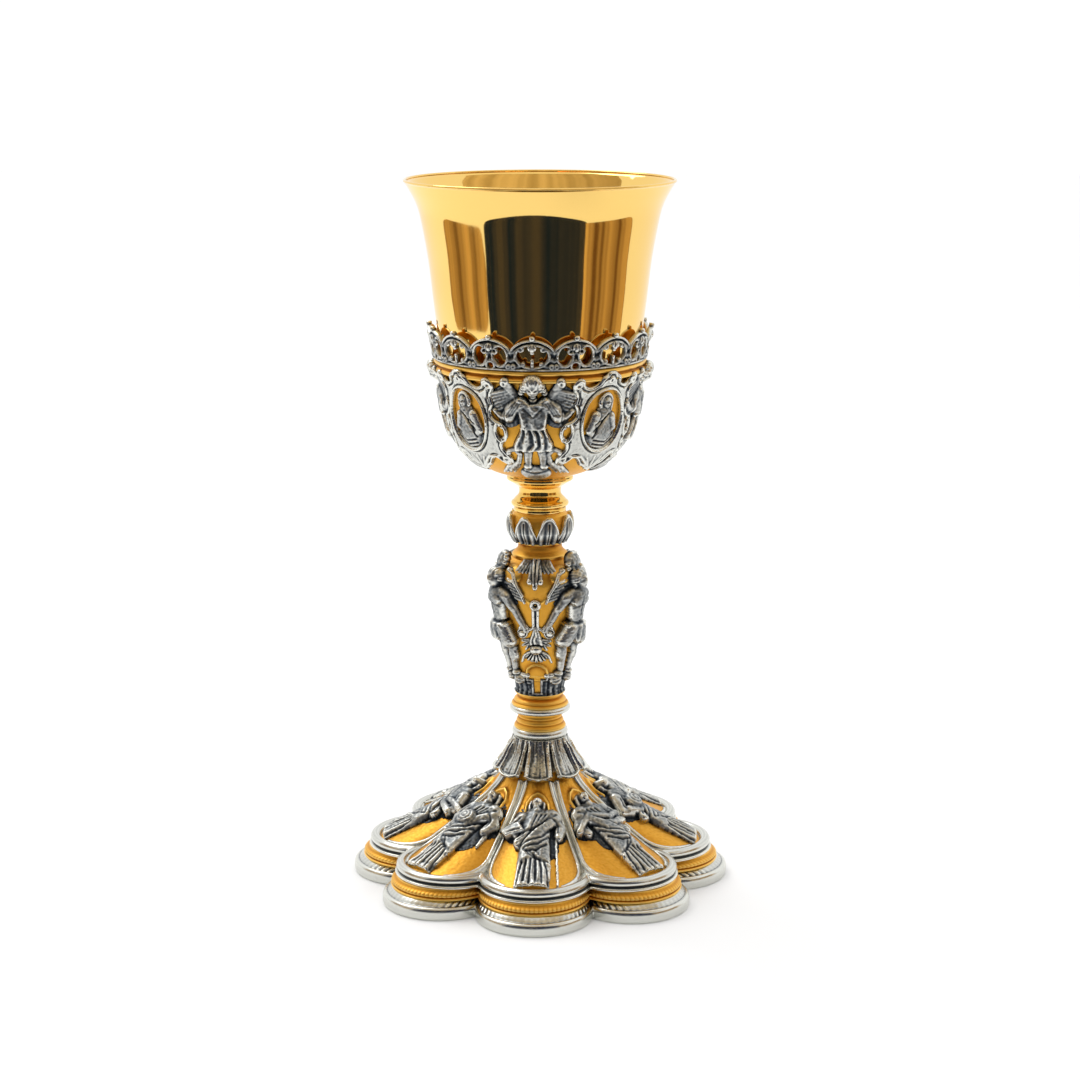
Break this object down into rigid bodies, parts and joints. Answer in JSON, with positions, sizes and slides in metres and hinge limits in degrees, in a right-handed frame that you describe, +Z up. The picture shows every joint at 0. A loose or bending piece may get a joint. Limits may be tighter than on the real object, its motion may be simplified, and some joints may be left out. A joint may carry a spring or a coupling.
{
  "type": "chalice",
  "caption": "Tall ceremonial wine cup: flared gilt bowl in a figured calyx, vase-shaped knop on a turned stem, lobed relief foot.",
  "frame": {"origin": "centre of the foot, on the surface that the chalice stands on", "axes": "+Z up along the stem to the cup's mouth, -Y to the front, where one lobe of the foot and one angel of the calyx face"},
  "size_m": [0.144, 0.144, 0.2658],
  "materials": {
    "polished_gilt": "mirror-polished gilding over brass",
    "satin_gilt": "satin gilding over cast brass",
    "antique_silver": "oxidised silver plate over cast brass, high spots polished",
    "steel": "plain zinc-plated steel"
  },
  "bodies": {
    "root": {"tie_rod": "steel", "rod_washer": "steel", "rod_nut": "steel", "foot_base_plate": "antique_silver", "foot_gold_moulding": "satin_gilt", "foot_frame": "antique_silver", "foot_dome": "satin_gilt", "leaf_skirt": "antique_silver", "stem_ring_lower": "antique_silver", "stem_spool_lower": "satin_gilt", "stem_ring_upper": "antique_silver", "stem_spool_upper": "satin_gilt", "knop_base_cup": "antique_silver", "knop_body": "satin_gilt", "lower_collar": "satin_gilt", "leaf_ball": "polished_gilt", "ball_leaves": "antique_silver", "upper_collar": "polished_gilt", "cup_boss": "satin_gilt", "calyx_shell": "satin_gilt", "calyx_rim_band": "satin_gilt", "gallery": "antique_silver", "cup": "polished_gilt", "knop_leaf_cap": "antique_silver", "foot_rib_1": "antique_silver", "foot_rib_2": "antique_silver", "foot_rib_3": "antique_silver", "foot_rib_4": "antique_silver", "foot_rib_5": "antique_silver", "foot_rib_6": "antique_silver", "foot_rib_7": "antique_silver", "foot_rib_8": "antique_silver", "foot_apostle_1": "antique_silver", "foot_apostle_2": "antique_silver", "foot_apostle_3": "antique_silver", "foot_apostle_4": "antique_silver", "foot_apostle_5": "antique_silver", "foot_apostle_6": "antique_silver", "foot_apostle_7": "antique_silver", "foot_apostle_8": "antique_silver", "knop_figure_1": "antique_silver", "knop_figure_2": "antique_silver", "knop_figure_3": "antique_silver", "knop_scroll_1": "antique_silver", "knop_scroll_2": "antique_silver", "knop_scroll_3": "antique_silver", "calyx_angel_1": "antique_silver", "calyx_angel_2": "antique_silver", "calyx_angel_3": "antique_silver", "calyx_angel_4": "antique_silver", "calyx_cartouche_1": "antique_silver", "calyx_cartouche_2": "antique_silver", "calyx_cartouche_3": "antique_silver", "calyx_cartouche_4": "antique_silver", "calyx_relief_1": "antique_silver", "calyx_relief_2": "antique_silver", "calyx_relief_3": "antique_silver", "calyx_relief_4": "antique_silver"}
  },
  "joints": []
}
